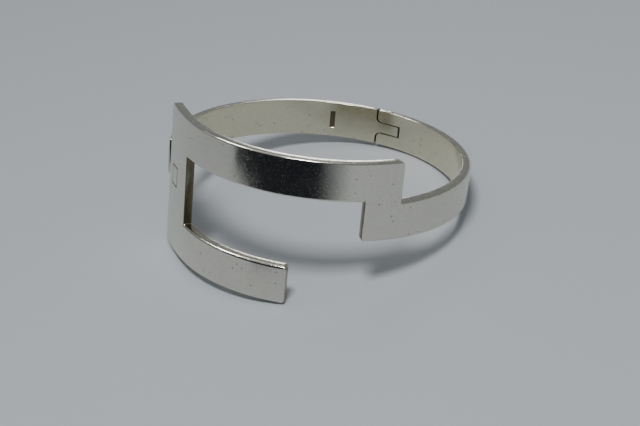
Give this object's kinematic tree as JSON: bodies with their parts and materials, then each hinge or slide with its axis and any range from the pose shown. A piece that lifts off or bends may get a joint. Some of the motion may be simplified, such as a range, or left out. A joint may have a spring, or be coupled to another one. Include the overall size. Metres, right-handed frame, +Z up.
{
  "type": "hinged bangle bracelet",
  "caption": "Hinged silver bangle with a stepped open front, a narrow band, a pinned hinge at the back and a push-button catch",
  "frame": {"origin": "middle of the bangle's outline at the surface that it lies on", "axes": "+Z up from that surface; -Y towards the front, where the bottom edge of the plate and lower arm is; +Y towards the back of the band, which touches the surface. The ring's own axis leans towards +Y by 14.72 degrees"},
  "size_m": [0.0627, 0.0656, 0.0317],
  "materials": {
    "polished_silver": "worn mirror-polished silver with fine scratches and tiny pits, warm tarnish inside",
    "silver_wire": "drawn silver wire, riveted and filed flush",
    "silver_sheet": "filed silver sheet, slightly tarnished",
    "spring_steel": "dull rolled spring strip"
  },
  "bodies": {
    "front": {"front_piece": "polished_silver", "hinge_pin": "silver_wire", "catch_box": "silver_sheet", "catch_cover": "silver_sheet", "button_spring": "spring_steel"},
    "back": {"back_band": "polished_silver", "catch_tongue": "silver_sheet"},
    "button": {"button_face": "polished_silver", "button_yoke": "silver_sheet"}
  },
  "joints": [
    {"name": "back_band_swing", "type": "hinge", "parent": "front", "child": "back", "pos_m": [-0.00874, 0.02963, 0.00444], "axis": [0, -0.2541, -0.9672], "range_deg": [0, 45]},
    {"name": "button_press", "type": "slide", "parent": "front", "child": "button", "axis": [0.3944, 0.8888, -0.2335], "range_m": [0, 0.00045], "stiffness_N_per_m": 600, "deforming": ["button_spring"]}
  ]
}
